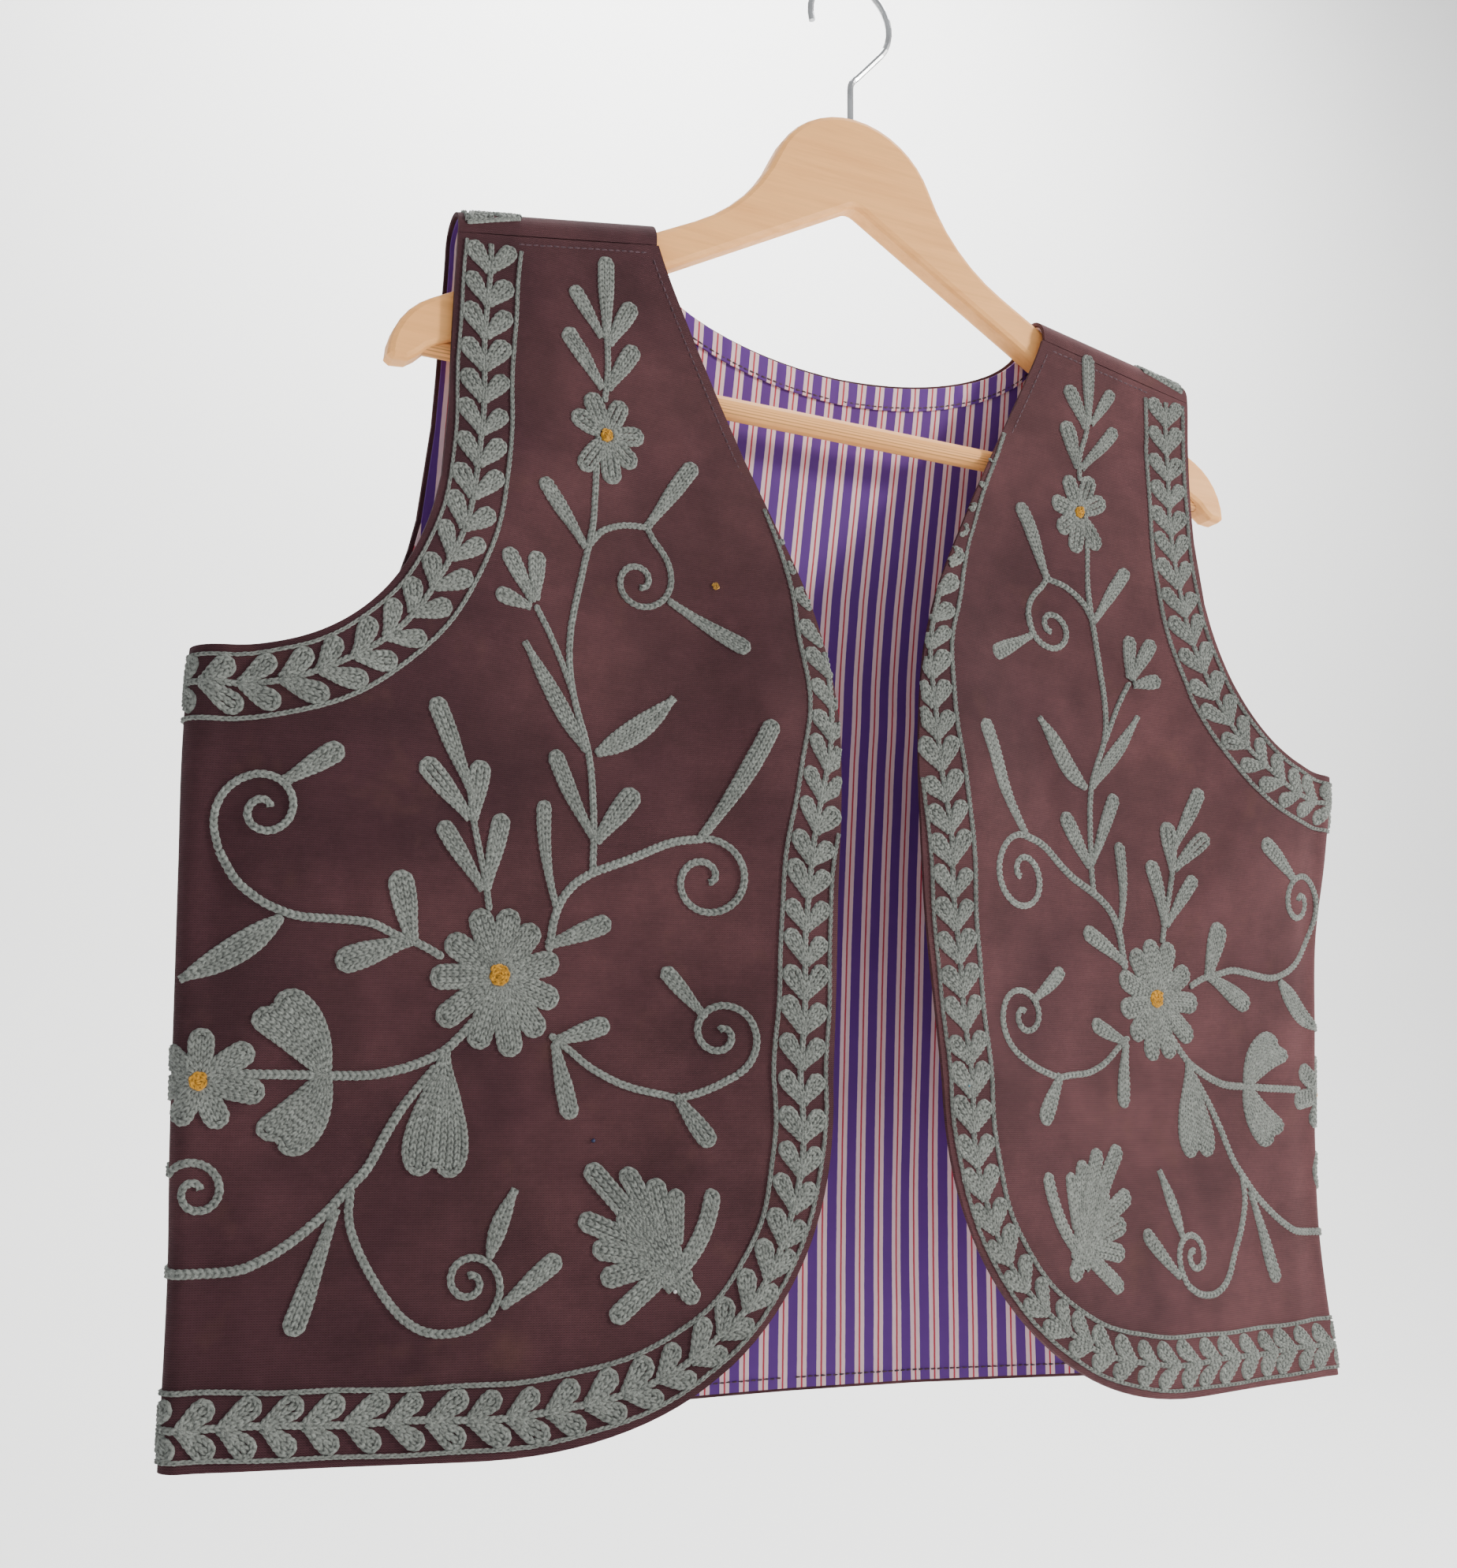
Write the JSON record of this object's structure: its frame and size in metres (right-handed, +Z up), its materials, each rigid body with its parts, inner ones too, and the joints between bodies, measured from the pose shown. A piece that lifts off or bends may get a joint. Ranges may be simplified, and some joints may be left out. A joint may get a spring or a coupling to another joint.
{
  "type": "embroidered waistcoat on a wooden hanger",
  "caption": "Sleeveless open-front canvas waistcoat with raised wool leaf borders, flowers and a striped lining, hanging on a contoured wooden hanger with a wire hook.",
  "frame": {"origin": "inside top of the hanger's hook, in the middle of the board's thickness, where a rail or wall hook bears", "axes": "+Z up, +X to the right of someone who faces the open fronts, -Y out of the fronts"},
  "size_m": [0.5838, 0.1025, 0.6849],
  "materials": {
    "pale_wood": "pale beech-like wood with a thin clear coat",
    "steel_wire": "drawn steel wire, lightly polished",
    "plum_canvas": "plain-weave plum-brown canvas, unevenly faded",
    "striped_cotton": "thin cotton with purple, off-white and red stripes",
    "grey_green_wool": "thick chain-stitched wool, grey-green with ochre centres"
  },
  "bodies": {
    "root": {"hanger_board": "pale_wood", "trouser_bar": "pale_wood", "hanger_hook": "steel_wire", "front_left": "plum_canvas", "front_right": "plum_canvas", "back": "plum_canvas", "back_lining": "striped_cotton", "neck_facing": "striped_cotton", "arm_border_left": "grey_green_wool", "arm_border_right": "grey_green_wool", "back_arm_border_left": "grey_green_wool", "back_arm_border_right": "grey_green_wool", "big_flower_left": "grey_green_wool", "big_flower_right": "grey_green_wool", "chest_leaf_left": "grey_green_wool", "chest_leaf_right": "grey_green_wool", "edge_border_left": "grey_green_wool", "edge_border_right": "grey_green_wool", "edge_leaf_left": "grey_green_wool", "edge_leaf_right": "grey_green_wool", "hem_border_back": "grey_green_wool", "inner_leaf_left": "grey_green_wool", "inner_leaf_right": "grey_green_wool", "low_leaf_left": "grey_green_wool", "low_leaf_right": "grey_green_wool", "lower_heart_left": "grey_green_wool", "lower_heart_right": "grey_green_wool", "lower_stem_left": "grey_green_wool", "lower_stem_right": "grey_green_wool", "main_stem_left": "grey_green_wool", "main_stem_right": "grey_green_wool", "mid_sprig_left": "grey_green_wool", "mid_sprig_right": "grey_green_wool", "palm_leaf_left": "grey_green_wool", "palm_leaf_right": "grey_green_wool", "pendant_leaf_left": "grey_green_wool", "pendant_leaf_right": "grey_green_wool", "side_flower_left": "grey_green_wool", "side_flower_right": "grey_green_wool", "side_stem_left": "grey_green_wool", "side_stem_right": "grey_green_wool", "small_flower_left": "grey_green_wool", "small_flower_right": "grey_green_wool", "top_sprig_left": "grey_green_wool", "top_sprig_right": "grey_green_wool", "upper_heart_left": "grey_green_wool", "upper_heart_right": "grey_green_wool"}
  },
  "joints": []
}
